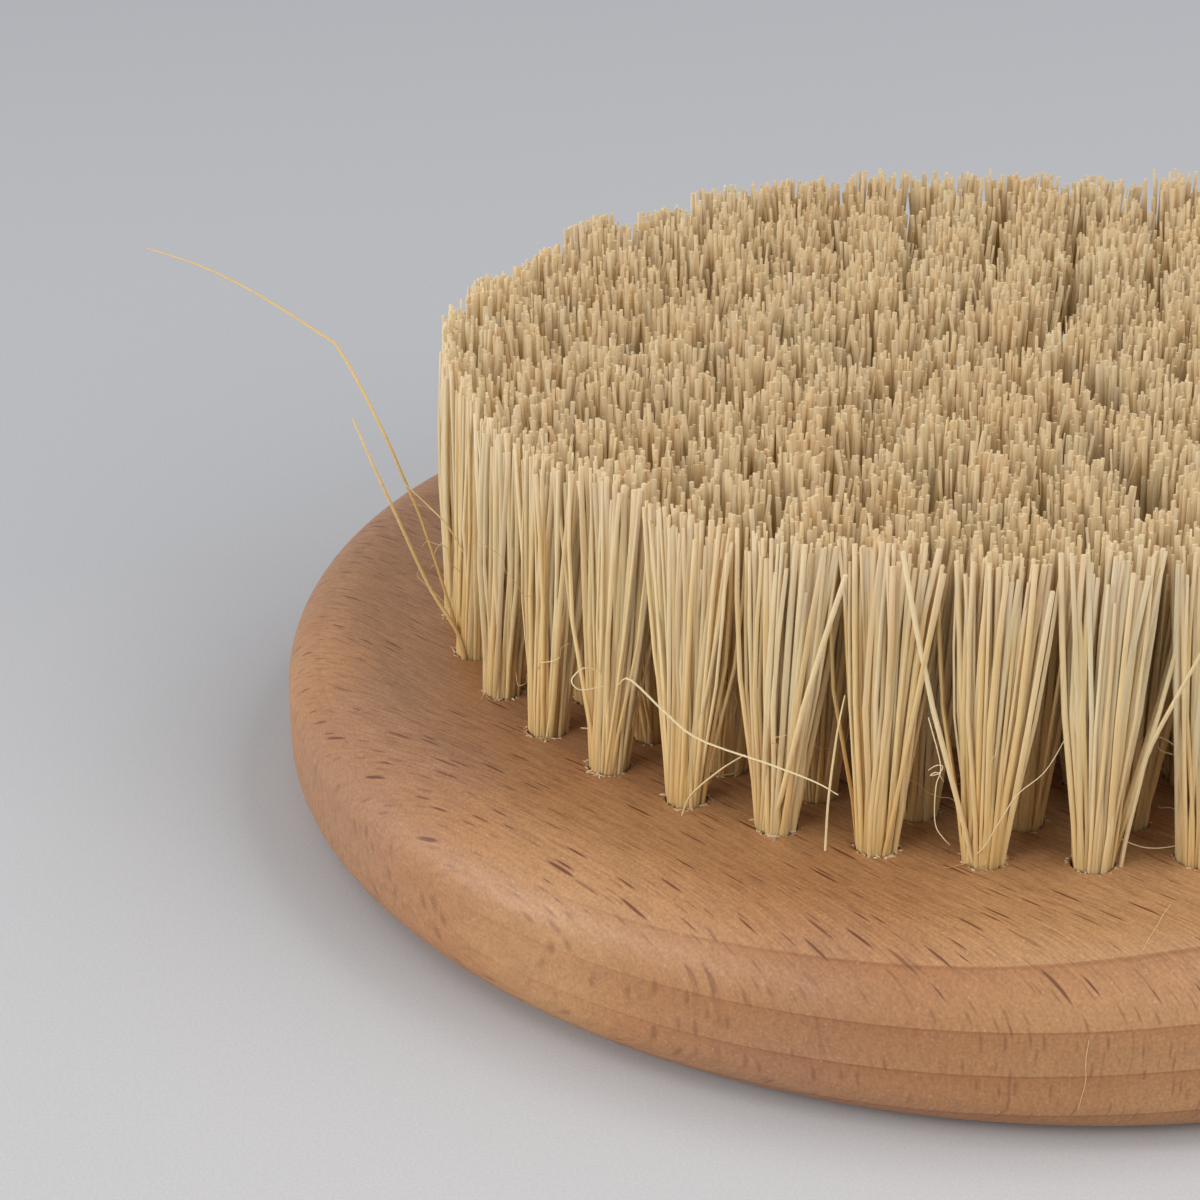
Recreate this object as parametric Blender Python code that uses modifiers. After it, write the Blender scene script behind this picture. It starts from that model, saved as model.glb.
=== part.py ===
"""Round bath brush: a turned beech body, drilled and filled with tufts of plant fibre.

It lies on its back. The origin is the centre of the underside and +Z points to the
tips of the bristles. All sizes are in metres.
"""

import math

import bmesh
import bpy
from mathutils import Matrix, Vector

# Turned beech body
BODY_DIAMETER = 0.1168
BODY_THICKNESS = 0.0136
SHOULDER_WIDTH = 0.0070
SHOULDER_DROP = 0.0056
FOOT_WIDTH = 0.0050
FOOT_RISE = 0.0040

# Pattern of the tufts: rows are circles about the centre, counted outwards
RIM_MARGIN = 0.0142
CENTRE_ROW_RADIUS = 0.0050
ROW_PITCH = 0.0056
TUFT_PITCH = 0.0073

# Blind holes of the outer row, and the grooves of the rows inside it
HOLE_DIAMETER = 0.0030
HOLE_DEPTH = 0.0090
SLICE_THICKNESS = 0.0030
SEAT_CLEARANCE = 0.0003
FACET_DEPTH = 0.00015
CUT_OVERRUN = 0.0010

# Fibre tufts: a strand stands for a bundle of fibres
TUFT_HEIGHT = 0.0227
TUFT_TIP_SPREAD = 0.0021
STRAND_ROOT_WIDTH = 0.0009
STRAND_TIP_WIDTH = 0.0020
TRIM_UNEVENNESS = 0.0014

# Counts, turns, and shares of the sizes above
STRANDS_FROM_RIM = (4, 3, 2)
STRAND_SIDES_FROM_RIM = (4, 3)
FIRST_TUFT_TURNS_FROM_RIM = (math.radians(-4.2), math.radians(2.9))
BODY_SIDES = 48
ARC_STEPS = 4
HOLE_SIDES = 8
ROOT_SPREAD_SHARE = 0.5
GOLDEN_TURN = math.pi * (3 - math.sqrt(5))
MERGE_DISTANCE = 0.00001

# Colours are linear RGB
BEECH_COLOUR = (0.39, 0.20, 0.085, 1.0)
FIBRE_COLOUR = (0.60, 0.43, 0.20, 1.0)

BODY_RADIUS = BODY_DIAMETER / 2
PLUG_RADIUS = HOLE_DIAMETER / 2 - SEAT_CLEARANCE
ROOT_SPREAD = PLUG_RADIUS * ROOT_SPREAD_SHARE


def clear_scene():
    for old in list(bpy.data.objects):
        bpy.data.objects.remove(old, do_unlink=True)


def new_collection(name):
    collection = bpy.data.collections.new(name)
    bpy.context.scene.collection.children.link(collection)
    return collection


def principled(name, colour, roughness):
    material = bpy.data.materials.new(name)
    material.use_nodes = True
    shader = material.node_tree.nodes["Principled BSDF"]
    shader.inputs["Base Color"].default_value = colour
    shader.inputs["Roughness"].default_value = roughness
    shader.inputs["Metallic"].default_value = 0.0
    return material


def oiled_beech():
    return principled("oiled_beech", BEECH_COLOUR, 0.45)


def plant_fibre():
    return principled("plant_fibre", FIBRE_COLOUR, 0.55)


def place(name, mesh, collection, parent=None):
    placed = bpy.data.objects.new(name, mesh)
    collection.objects.link(placed)
    placed.parent = parent
    return placed


def as_cutter(cutter):
    cutter.hide_render = True
    cutter.display_type = "WIRE"
    return cutter


def mesh_from(bm, name):
    mesh = bpy.data.meshes.new(name)
    bm.to_mesh(mesh)
    bm.free()
    return mesh


def profile_mesh(name, points, closed):
    """A chain of points in the XZ plane, for a Screw modifier to turn."""
    bm = bmesh.new()
    corners = [bm.verts.new((radius, 0, height)) for radius, height in points]
    for first, second in zip(corners, corners[1:]):
        bm.edges.new((first, second))
    if closed:
        bm.edges.new((corners[-1], corners[0]))
    return mesh_from(bm, name)


def turn(profile, sides):
    screw = profile.modifiers.new("turned", "SCREW")
    screw.steps = sides
    screw.render_steps = sides
    screw.use_merge_vertices = True
    screw.merge_threshold = MERGE_DISTANCE
    return profile


def combine(target, operation, other):
    boolean = target.modifiers.new(operation.lower(), "BOOLEAN")
    boolean.operation = operation
    boolean.solver = "EXACT"
    boolean.object = other


def quarter_arc(centre, width, height, start):
    """Points along a quarter of an ellipse, clockwise from the angle start."""
    steps = [start - math.pi / 2 * step / ARC_STEPS for step in range(ARC_STEPS + 1)]
    return [
        (centre[0] + width * math.cos(angle), centre[1] + height * math.sin(angle))
        for angle in steps
    ]


def body_profile():
    """The edge of the body from its filled face, over the shoulder, to the underside."""
    shoulder_centre = (BODY_RADIUS - SHOULDER_WIDTH, BODY_THICKNESS - SHOULDER_DROP)
    foot_centre = (BODY_RADIUS - FOOT_WIDTH, FOOT_RISE)
    shoulder = quarter_arc(shoulder_centre, SHOULDER_WIDTH, SHOULDER_DROP, math.pi / 2)
    foot = quarter_arc(foot_centre, FOOT_WIDTH, FOOT_RISE, 0)
    return shoulder + foot


def row_radii():
    """Radii of the rows of tufts from the centre outwards, evenly spaced."""
    reach = BODY_RADIUS - RIM_MARGIN - CENTRE_ROW_RADIUS
    gaps = max(1, round(reach / ROW_PITCH))
    return [CENTRE_ROW_RADIUS + reach * index / gaps for index in range(gaps + 1)]


def tuft_count(radius):
    return max(3, round(2 * math.pi * radius / TUFT_PITCH))


def from_rim(values, row):
    """The value for a row: the first is the outermost row's, the last goes on inwards."""
    rows_outside = len(row_radii()) - row
    return values[min(rows_outside, len(values) - 1)]


def tuft_angles(row):
    """Angles of the tufts of a row, evenly spaced from its first tuft's turn."""
    count = tuft_count(row_radii()[row - 1])
    first = from_rim(FIRST_TUFT_TURNS_FROM_RIM, row)
    return [first + 2 * math.pi * index / count for index in range(count)]


def groove_sides(radius):
    """Sides of a groove and its slice, whose facets leave the circle by FACET_DEPTH."""
    outer = radius + HOLE_DIAMETER / 2
    half_facet = math.acos(1 - FACET_DEPTH / outer)
    return max(HOLE_SIDES, round(math.pi / half_facet))


def ring_profile(radius, half_width, top, bottom):
    inner = radius - half_width
    outer = radius + half_width
    return [(inner, top), (outer, top), (outer, bottom), (inner, bottom)]


def hole_cutters(collection):
    """Round blind holes of the outer row, all in one cutter."""
    bm = bmesh.new()
    radii = row_radii()
    depth = HOLE_DEPTH + CUT_OVERRUN
    middle = BODY_THICKNESS - HOLE_DEPTH + depth / 2
    for angle in tuft_angles(len(radii)):
        seat = Matrix.Rotation(angle, 4, "Z") @ Matrix.Translation((radii[-1], 0, middle))
        bmesh.ops.create_cone(
            bm, cap_ends=True, segments=HOLE_SIDES, radius1=HOLE_DIAMETER / 2,
            radius2=HOLE_DIAMETER / 2, depth=depth, matrix=seat)
    return as_cutter(place("outer_row_holes", mesh_from(bm, "outer_row_holes"), collection))


def groove_cutter(name, radius, collection):
    top = BODY_THICKNESS + CUT_OVERRUN
    bottom = BODY_THICKNESS - SLICE_THICKNESS - SEAT_CLEARANCE
    points = ring_profile(radius, HOLE_DIAMETER / 2, top, bottom)
    groove = place(name, profile_mesh(name, points, True), collection)
    return as_cutter(turn(groove, groove_sides(radius)))


def fill_ends(mesh):
    """Closes the flat face and the underside with one face each."""
    bm = bmesh.new()
    bm.from_mesh(mesh)
    rims = [edge for edge in bm.edges if edge.is_boundary]
    bmesh.ops.holes_fill(bm, edges=rims, sides=0)
    bmesh.ops.recalc_face_normals(bm, faces=bm.faces)
    bm.to_mesh(mesh)
    bm.free()


def evaluated_mesh(source):
    depsgraph = bpy.context.evaluated_depsgraph_get()
    return bpy.data.meshes.new_from_object(source.evaluated_get(depsgraph))


def shade_round(mesh):
    mesh.shade_smooth()
    mesh.set_sharp_from_angle(angle=math.radians(40))


def brush_body(parts, cutters, parent):
    """The one-piece wooden body, with blind holes and the grooves of the inner rows."""
    blank = place("body_blank", profile_mesh("body_blank", body_profile(), False), parts)
    turn(blank, BODY_SIDES)
    mesh = evaluated_mesh(blank)
    bpy.data.objects.remove(blank, do_unlink=True)
    fill_ends(mesh)
    shade_round(mesh)
    mesh.name = "brush_body"
    mesh.materials.append(oiled_beech())
    body = place("brush_body", mesh, parts, parent)
    combine(body, "DIFFERENCE", hole_cutters(cutters))
    for row, radius in enumerate(row_radii()[:-1], start=1):
        groove = groove_cutter(f"row_{row}_groove", radius, cutters)
        combine(body, "DIFFERENCE", groove)
    return body


def add_strand(bm, root, tip, buried, sides):
    """A straight tapered strand from root to tip, carried on below its root."""
    along = (tip - root).normalized()
    start = root - along * buried
    turned = along.to_track_quat("Z", "Y").to_matrix().to_4x4()
    middle = Matrix.Translation((start + tip) / 2) @ turned
    bmesh.ops.create_cone(
        bm, cap_ends=True, segments=sides, radius1=STRAND_ROOT_WIDTH / 2,
        radius2=STRAND_TIP_WIDTH / 2, depth=(tip - start).length, matrix=middle)


def add_tuft(bm, seat, row, first_strand):
    """The strands of one tuft, flaring evenly round the axis of its seat."""
    strands = from_rim(STRANDS_FROM_RIM, row)
    sides = from_rim(STRAND_SIDES_FROM_RIM, row)
    for index in range(strands):
        angle = 2 * math.pi * (index + 0.5) / strands
        side = Vector((math.cos(angle), math.sin(angle), 0))
        order = first_strand + index
        trim = TRIM_UNEVENNESS * (1 - math.cos(order * GOLDEN_TURN)) / 2
        root = side * ROOT_SPREAD
        tip = side * TUFT_TIP_SPREAD + Vector((0, 0, TUFT_HEIGHT - trim))
        add_strand(bm, seat @ root, seat @ tip, SLICE_THICKNESS / 2, sides)


def loose_strands(name, bm, collection):
    return as_cutter(place(name, mesh_from(bm, name), collection))


def tuft_mesh(parts, cutters):
    """One outer-row tuft: a packed root plug with its strands fused to it."""
    bm = bmesh.new()
    length = HOLE_DEPTH - SEAT_CLEARANCE
    bmesh.ops.create_cone(
        bm, cap_ends=True, segments=HOLE_SIDES, radius1=PLUG_RADIUS, radius2=PLUG_RADIUS,
        depth=length, matrix=Matrix.Translation((0, 0, -length / 2)))
    plug = place("tuft_plug", mesh_from(bm, "tuft_plug"), parts)
    bm = bmesh.new()
    add_tuft(bm, Matrix(), len(row_radii()), 0)
    combine(plug, "UNION", loose_strands("outer_row_strands", bm, cutters))
    mesh = evaluated_mesh(plug)
    bpy.data.objects.remove(plug, do_unlink=True)
    mesh.name = "tuft"
    mesh.materials.append(plant_fibre())
    return mesh


def outer_tufts(parts, cutters, parent):
    """Each tuft of the outer row is a piece of its own, seated in its blind hole."""
    mesh = tuft_mesh(parts, cutters)
    radii = row_radii()
    radius = radii[-1]
    for index, angle in enumerate(tuft_angles(len(radii))):
        tuft = place(f"tuft_{index + 1:02d}", mesh, parts, parent)
        tuft.location = (radius * math.cos(angle), radius * math.sin(angle), BODY_THICKNESS)
        tuft.rotation_euler = (0, 0, angle + math.pi / 2 * (index % 4))


def inner_row(row, radius, parts, cutters, parent):
    """An inner row: its tufts fused to a ring-shaped slice that fills the groove."""
    name = f"tuft_row_{row}"
    bottom = BODY_THICKNESS - SLICE_THICKNESS
    points = ring_profile(radius, PLUG_RADIUS, BODY_THICKNESS, bottom)
    mesh = profile_mesh(name, points, True)
    mesh.materials.append(plant_fibre())
    slice_ring = turn(place(name, mesh, parts, parent), groove_sides(radius))
    bm = bmesh.new()
    strands = from_rim(STRANDS_FROM_RIM, row)
    for index, angle in enumerate(tuft_angles(row)):
        turned = Matrix.Rotation(angle, 4, "Z")
        seat = turned @ Matrix.Translation((radius, 0, BODY_THICKNESS))
        add_tuft(bm, seat, row, index * strands + row)
    combine(slice_ring, "UNION", loose_strands(f"row_{row}_strands", bm, cutters))


def main():
    clear_scene()
    parts = new_collection("bath_brush")
    cutters = new_collection("cutters")
    origin = place("bath_brush_origin", None, parts)
    brush_body(parts, cutters, origin)
    outer_tufts(parts, cutters, origin)
    for row, radius in enumerate(row_radii()[:-1], start=1):
        inner_row(row, radius, parts, cutters, origin)


main()
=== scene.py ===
"""Looks of a round bath brush: a turned beech body filled with folded tufts of plant fibre.

Sizes are in metres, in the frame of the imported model: the origin is the centre of the
underside, and +Z points to the tips of the fibres.
"""

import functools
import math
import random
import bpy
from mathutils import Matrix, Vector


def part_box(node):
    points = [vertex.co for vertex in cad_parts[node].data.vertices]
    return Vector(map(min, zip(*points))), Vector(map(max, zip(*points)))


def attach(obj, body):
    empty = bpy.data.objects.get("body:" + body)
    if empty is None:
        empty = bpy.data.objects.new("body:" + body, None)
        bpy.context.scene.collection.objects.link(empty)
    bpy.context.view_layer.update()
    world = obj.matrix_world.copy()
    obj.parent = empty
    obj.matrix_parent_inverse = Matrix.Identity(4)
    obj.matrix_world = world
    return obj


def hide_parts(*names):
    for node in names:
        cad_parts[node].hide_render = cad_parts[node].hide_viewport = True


bl_info = {
    "name": "Bath Brush",
    "version": (1, 0, 0),
    "blender": (4, 5, 0),
    "location": "3D View > Sidebar > Bath Brush",
    "description": "Makes the wood, fibres, staples and studio of a round bath brush",
    "category": "Object",
}

import bmesh
import bpy
from mathutils import Matrix, Vector, noise

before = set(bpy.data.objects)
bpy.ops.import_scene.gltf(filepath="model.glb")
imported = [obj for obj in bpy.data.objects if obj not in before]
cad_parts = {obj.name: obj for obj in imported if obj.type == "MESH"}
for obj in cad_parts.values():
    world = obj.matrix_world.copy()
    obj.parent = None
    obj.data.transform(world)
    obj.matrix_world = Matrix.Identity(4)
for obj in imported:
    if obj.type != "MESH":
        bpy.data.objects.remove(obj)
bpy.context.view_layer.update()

BODY_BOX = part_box("brush_body")
FACE_HEIGHT = BODY_BOX[1].z
MILLIMETRE = 0.001
UP = Vector((0, 0, 1))
WHOLE_TURN = 2 * math.pi
GOLDEN_TURN = math.pi * (3 - math.sqrt(5))

# Rows of tufts inside the outer one, counted from the centre
INNER_ROWS = sorted(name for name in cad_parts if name.startswith("tuft_row_"))
CENTRE_ROW_RADIUS = 0.0050
ROW_PITCH = 0.0056
TUFT_PITCH = 0.0073
INNER_ROW_TURN = math.radians(2.9)

# Fineness of the turned body and its holes
BODY_SIDES = 192
SHOULDER_STEPS = 14
WALL_STEPS = 3
HOLE_SIDES = 20
DRILL_POINT = 0.0006
DRILL_POINT_FLAT = 0.3
RIM_CHAMFER = 0.00008
RIM_TEAR = 0.00010
RIM_TEARS_A_MILLIMETRE = 1.7

# Angles in degrees past which an edge stays sharp
SHARP_WOOD = 35
SHARP_STEEL = 50
SHARP_CRUMB = 60
SHARP_FIBRE = 75

# How a tuft stands. The front of the outer row was combed in, and spreads less outwards
# than its back right. The inner tufts are narrower and more domed.
OUTER_SPREAD_OUTWARDS = 0.25
BACK_RIGHT = math.radians(35)
BACK_RIGHT_SPREAD = 0.7
INNER_TIP_SPREAD = 0.88
OUTER_DOME = 0.0003
INNER_DOME = 0.0017
TUFT_LEAN = 0.0003
TUFT_HEIGHT_PLAY = 0.0006
TRIM_SLOPE = 0.014

# How a fibre stands in its tuft: sideways at its tip and its middle, the share that leans
# further and how many times further, the share that was cut short and by how much, and the
# power that keeps most of the others near the longest
FIBRE_LEAN = 0.0006
FIBRE_BOW = 0.00026
WILD_SHARE = 0.13
WILD_LEAN = 3.2
SHORT_SHARE = 0.03
SHORT_BY = 0.004
TRIM_POWER = 1.7

# Points down a fibre: share of the way from its hole to its tip, sideways and in height,
# and share of its bow
FIBRE_COURSE = ((0.80, 0.76, 0.7), (0.56, 0.50, 1.0), (0.17, 0.15, 0.0))

# The folds round the staple, and the radius that the fibres fill in the mouth of the hole
FOLD_DEPTH = 0.0084
FOLD_GAP = 0.0004
FOLD_PACKING = 0.8
PACKED_RADIUS = 0.00136

# Rings of a folded fibre: tip, course and hole of each end, and the three of the fold
FIBRE_RINGS = 2 * (len(FIBRE_COURSE) + 2) + 3
FIBRE_SIDES = 5

# What differs from fibre to fibre: its share of the full width, its depth for that width,
# and its tone from 0 for golden to 1 for cream. A whole tuft may be more golden, and a cut
# end is a little narrower.
FIBRE_WIDTHS = (0.45, 1.0)
FIBRE_DEPTHS = (0.5, 0.8)
FIBRE_TONE = 0.72
FIBRE_TONE_PLAY = 0.15
GOLDEN_TUFT = 0.30
CUT_TAPER = 0.9

# Stray fibres: which way they are flat, depth for their width, how much narrower the tip
# is, and the tone and hue of the middle of a fibre
STRAY_RINGS = 24
STRAY_SIDES = 5
STRAY_FLAT_SIDE = Vector((0.3, 1, 0.2))
STRAY_DEPTH = 0.7
STRAY_TAPER = 0.55
STRAY_REACH = 0.5
STRAY_HUE = 0.5

# Fine hairs at the feet of the outer tufts, where they start, and how they rise and curl
HAIRS_A_TUFT = 2
HAIR_WIDTH = 0.00008
HAIR_FROM_MIDDLE = 0.0012
HAIR_HEIGHTS = (0.0005, 0.012)
HAIR_RISES = (-0.3, 1.6)
HAIR_STEPS = 6
HAIR_STEP_LENGTHS = (0.0005, 0.0012)
HAIR_CURL = 0.55
HAIR_ABOVE_FACE = 0.0002

# Crumbs of torn wood at a hole: size, stretch both ways, flatness and lumps, and how far
# round the hole and past its rim they fall, as a mean and a spread
RIM_SEED = 3
CRUMBS = 30
CRUMB_SIZES = (0.00006, 0.00020)
CRUMB_STRETCHES = ((0.8, 2.2), (0.4, 0.8))
CRUMB_FLATNESS = 0.45
CRUMB_LUMPS = (0.75, 1.25)
CRUMB_ROUND = 1.6
CRUMB_AWAY = (0.00008, 0.00012)

# Splinters at a hole: length, half width at both ends as a share of it, and degrees from
# upright, and how far round the hole, past its rim and above the face they lie
SPLINTERS = 2
SPLINTER_LENGTHS = (0.0004, 0.0011)
SPLINTER_ENDS = (0.09, 0.02)
SPLINTER_TILTS = (65, 88)
SPLINTER_ROUND = 1.3
SPLINTER_AWAY = 0.0002
SPLINTER_RISE = 0.00006

# Floor, and where along Y it takes its near and far tones and, as a share, its middle one
FLOOR_RADIUS = 3.0
FLOOR_SIDES = 64
FLOOR_GAP = 0.00002
NEAR_FLOOR_Y = -0.070
FAR_FLOOR_Y = 0.280
MIDDLE_FLOOR_SHARE = 0.30

# Camera: degrees down, lens and sensor in millimetres
CAMERA_PLACE = (-0.0329, -0.2090, 0.1090)
CAMERA_DOWN = 24.7
CAMERA_NEAREST = 0.01
CAMERA_LENS = 84.0
SENSOR_WIDTH = 36.0

# Soft boxes 0.8 m from the brush: turn from +X and height in degrees, side in metres, watts
SOFTBOX_DISTANCE = 0.8
SOFTBOXES = {
    "high_right_softbox": (2, 57, 0.42, 1.95),
    "low_left_softbox": (190, 12, 0.32, 2.15),
    "front_left_softbox": (224, 26, 0.42, 1.98),
    "front_right_softbox": (315, 34, 0.42, 1.62),
    "upper_left_softbox": (220, 62, 0.30, 0.42),
}


def linear(colour):
    """An sRGB hex colour as linear RGBA."""
    values = [int(colour[i:i + 2], 16) / 255 for i in (1, 3, 5)]
    return (*[v / 12.92 if v <= 0.04045 else ((v + 0.055) / 1.055) ** 2.4 for v in values], 1)


def colour(name, description, value):
    return bpy.props.FloatVectorProperty(
        name=name, description=description, subtype="COLOR", size=4, min=0, max=1,
        default=linear(value))


def length(name, description, value):
    return bpy.props.FloatProperty(
        name=name, description=description, unit="LENGTH", min=0, default=value)


class BeechBodySettings(bpy.types.PropertyGroup):
    radius: length("Radius", "From the centre to the turned edge", BODY_BOX[1].x)
    thickness: length("Thickness", "From the underside to the drilled face", FACE_HEIGHT)
    shoulder_width: length("Shoulder width", "How far the rounding runs in", 0.0070)
    shoulder_drop: length("Shoulder drop", "How far the rounding runs down", 0.0056)
    foot_width: length("Foot width", "How far the lower rounding runs in", 0.0050)
    foot_rise: length("Foot rise", "How far the lower rounding runs up", 0.0040)
    hole_radius: length("Hole radius", "Of the blind holes that hold the tufts", 0.0015)
    hole_depth: length("Hole depth", "From the face to the drill's point", 0.0090)
    light_wood: colour("Light wood", "Early wood of a growth ring", "#B6885C")
    tan_wood: colour("Tan wood", "Main tone of the oiled beech", "#AD7C52")
    pink_wood: colour("Pink wood", "Steamed, pinker parts", "#A67956")
    fleck: colour("Fleck", "Medullary rays, cut across", "#6B3C24")


class TuftSettings(bpy.types.PropertyGroup):
    height: length("Height", "From the face to the longest tips", 0.0230)
    unevenness: length("Unevenness", "How much shorter some tips are", 0.0021)
    tip_spread: length("Tip spread", "Radius of a tuft at its tips", 0.0034)
    fibre_width: length("Fibre width", "Across the widest fibres", 0.00046)
    fibres: bpy.props.IntProperty(
        name="Folded fibres", description="Fibres folded into each hole", min=3, default=47)
    seed: bpy.props.IntProperty(
        name="Seed", description="Changes how the fibres fall", min=0, default=7)
    golden: colour("Golden", "Darkest fibres", "#EDC97C")
    straw: colour("Straw", "Most fibres", "#F8E0A6")
    cream: colour("Cream", "Palest fibres", "#F9EECB")


class AnchorSettings(bpy.types.PropertyGroup):
    anchor_length: length("Length", "Across the hole, biting into its wall", 0.0033)
    width: length("Width", "Of the flat wire, along the hole", 0.0013)
    thickness: length("Thickness", "Of the flat wire", 0.0004)
    steel: colour("Steel", "Drawn steel wire", "#B4B6B8")


class StudioSettings(bpy.types.PropertyGroup):
    near_floor: colour("Near floor", "Floor in front of the brush", "#C9C8C9")
    middle_floor: colour("Middle floor", "Floor beside the brush", "#BDBEC1")
    far_floor: colour("Far floor", "Floor and air behind the brush", "#C2C4C8")
    sky_light: bpy.props.FloatProperty(
        name="Sky light", description="Even light from all round", min=0, default=0.42)
    lamp_scale: bpy.props.FloatProperty(
        name="Lamp scale", description="Scales the power of every soft box", min=0,
        default=1.0)


class BathBrushSettings(bpy.types.PropertyGroup):
    body: bpy.props.PointerProperty(type=BeechBodySettings)
    tufts: bpy.props.PointerProperty(type=TuftSettings)
    anchors: bpy.props.PointerProperty(type=AnchorSettings)
    studio: bpy.props.PointerProperty(type=StudioSettings)


# Materials. Settings that many nodes share; a colour mix takes its share as _0 and its
# colours as _6 and _7.
ADD = {"operation": "ADD"}
SUBTRACT = {"operation": "SUBTRACT"}
MULTIPLY = {"operation": "MULTIPLY"}
MULTIPLY_ADD = {"operation": "MULTIPLY_ADD"}
SCALE = {"operation": "SCALE"}
MAXIMUM = {"operation": "MAXIMUM"}
COLOURS = {"data_type": "RGBA"}
TINT = {"data_type": "RGBA", "blend_type": "MULTIPLY"}
SMOOTH_STEP = {"interpolation_type": "SMOOTHSTEP"}

GRAIN_TURN = math.radians(45)
RING_PITCH = 3.2
RING_CURVE = 0.0009
RING_START = 0.581


def new_material(name):
    """A new material and its Principled shader."""
    material = bpy.data.materials.new(name)
    material.use_nodes = True
    return material, material.node_tree.nodes["Principled BSDF"]


def set_inputs(holder, node, **inputs):
    """Sets a node's inputs, by name or by _number, to values or to other nodes' sockets."""
    for name, value in inputs.items():
        numbered = name.startswith("_")
        socket = node.inputs[int(name[1:]) if numbered else name.replace("_", " ")]
        if isinstance(value, bpy.types.NodeSocket):
            holder.node_tree.links.new(value, socket)
        else:
            socket.default_value = value


def add_node(holder, kind, settings=None, stops=(), **inputs):
    """Adds a node to a material or a world, and gives back its outputs."""
    node = holder.node_tree.nodes.new(kind)
    for name, value in (settings or {}).items():
        setattr(node, name, value)
    set_inputs(holder, node, **inputs)
    for index, (position, value) in enumerate(stops):
        elements = node.color_ramp.elements
        stop = elements[index] if index < 2 else elements.new(position)
        stop.position = position
        stop.color = value
    return node.outputs


def growth_rings(add, parts):
    """Growth rings 3.2 mm apart, on a log of about 550 mm radius below the brush.

    Gives their tint and how much of it shows, most of it towards one end of the grain.
    """
    across = add("ShaderNodeMath", MULTIPLY, _0=parts["Y"], _1=parts["Y"])[0]
    rise = add("ShaderNodeMath", MULTIPLY_ADD, _0=across, _1=RING_CURVE, _2=parts["Z"])[0]
    rings = add("ShaderNodeMath", MULTIPLY_ADD, _0=rise, _1=1 / RING_PITCH, _2=RING_START)[0]
    ring = add("ShaderNodeMath", {"operation": "FRACT"}, _0=rings)[0]
    late_wood = add(
        "ShaderNodeValToRGB", Fac=ring,
        stops=[(0.0, linear("#FFFFFF")), (1.0, linear("#EBDFD5")), (0.25, linear("#FCFAF7")),
               (0.70, linear("#F7F0EA")), (0.94, linear("#EEE2D9")),
               (0.975, linear("#DDC8B9"))])[0]
    end_grain = add(
        "ShaderNodeMapRange", Value=parts["X"], From_Min=2.0, From_Max=26.0, To_Min=0.25)[0]
    return late_wood, end_grain


def dark_rays(add, grain, parts):
    """Rays: upright plates up to 3.5 mm long, 0.27 mm thick and about 5 mm deep.

    Each has its own size, height and darkness, and they fade low on the two sides across
    the grain.
    """
    place = add("ShaderNodeVectorMath", MULTIPLY, _0=grain, _1=(0.15, 1.9, 0))[0]
    ray = add("ShaderNodeTexVoronoi", {"voronoi_dimensions": "2D"}, Vector=place, Scale=1.0)
    chance = add("ShaderNodeSeparateColor", Color=ray["Color"])
    level = add(
        "ShaderNodeMath", MULTIPLY_ADD, _0=parts["Z"], _1=0.16, _2=chance["Blue"])[0]
    level = add("ShaderNodeMath", {"operation": "PINGPONG"}, _0=level, _1=0.5)[0]
    level = add(
        "ShaderNodeMapRange", SMOOTH_STEP, Value=level, From_Min=0.06, From_Max=0.26)[0]
    reach = add("ShaderNodeMapRange", Value=chance["Green"], To_Min=0.09, To_Max=0.26)[0]
    reach = add("ShaderNodeMath", MULTIPLY, _0=reach, _1=level)[0]
    inside = add("ShaderNodeMath", SUBTRACT, _0=reach, _1=ray["Distance"])[0]
    solid = add("ShaderNodeMapRange", SMOOTH_STEP, Value=inside, From_Max=0.12)[0]
    dark = add(
        "ShaderNodeMapRange", Value=chance["Red"], From_Max=0.7, To_Min=0.35, To_Max=0.97)[0]
    beside = add("ShaderNodeMath", {"operation": "ABSOLUTE"}, _0=parts["Y"])[0]
    beside = add(
        "ShaderNodeMapRange", Value=beside, From_Min=45.0, From_Max=53.0, To_Min=0.5,
        To_Max=0.85)[0]
    low = add("ShaderNodeMapRange", Value=parts["Z"], From_Min=10.8, From_Max=8.4)[0]
    beside = add("ShaderNodeMath", MULTIPLY, _0=beside, _1=low)[0]
    shown = add("ShaderNodeMath", SUBTRACT, _0=1.0, _1=beside)[0]
    dark = add("ShaderNodeMath", MULTIPLY, _0=dark, _1=shown)[0]
    return add("ShaderNodeMath", MULTIPLY, _0=solid, _1=dark)[0]


def wood_dust(add, board, height):
    """Wood dust and torn specks up to 0.2 mm across, caught in the oil.

    Most of it lies among the tufts, less on the edge and none underneath.
    """
    place = add("ShaderNodeVectorMath", SCALE, _0=board, Scale=2.1)[0]
    dust = add("ShaderNodeTexVoronoi", Vector=place, Scale=1.0)
    chance = add("ShaderNodeSeparateColor", Color=dust["Color"])["Blue"]
    size = add("ShaderNodeMapRange", Value=chance, From_Min=0.5, To_Max=0.23)[0]
    specks = add("ShaderNodeMath", {"operation": "LESS_THAN"}, _0=dust["Distance"], _1=size)[0]
    from_centre = add("ShaderNodeVectorMath", {"operation": "LENGTH"}, _0=board)["Value"]
    dusty = add(
        "ShaderNodeMapRange", Value=from_centre, From_Min=47.0, From_Max=54.0, To_Min=0.75,
        To_Max=0.15)[0]
    above = add("ShaderNodeMapRange", Value=height, From_Min=0.5, From_Max=3.0)[0]
    dusty = add("ShaderNodeMath", MULTIPLY, _0=dusty, _1=above)[0]
    return add("ShaderNodeMath", MULTIPLY, _0=specks, _1=dusty)[0]


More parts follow.
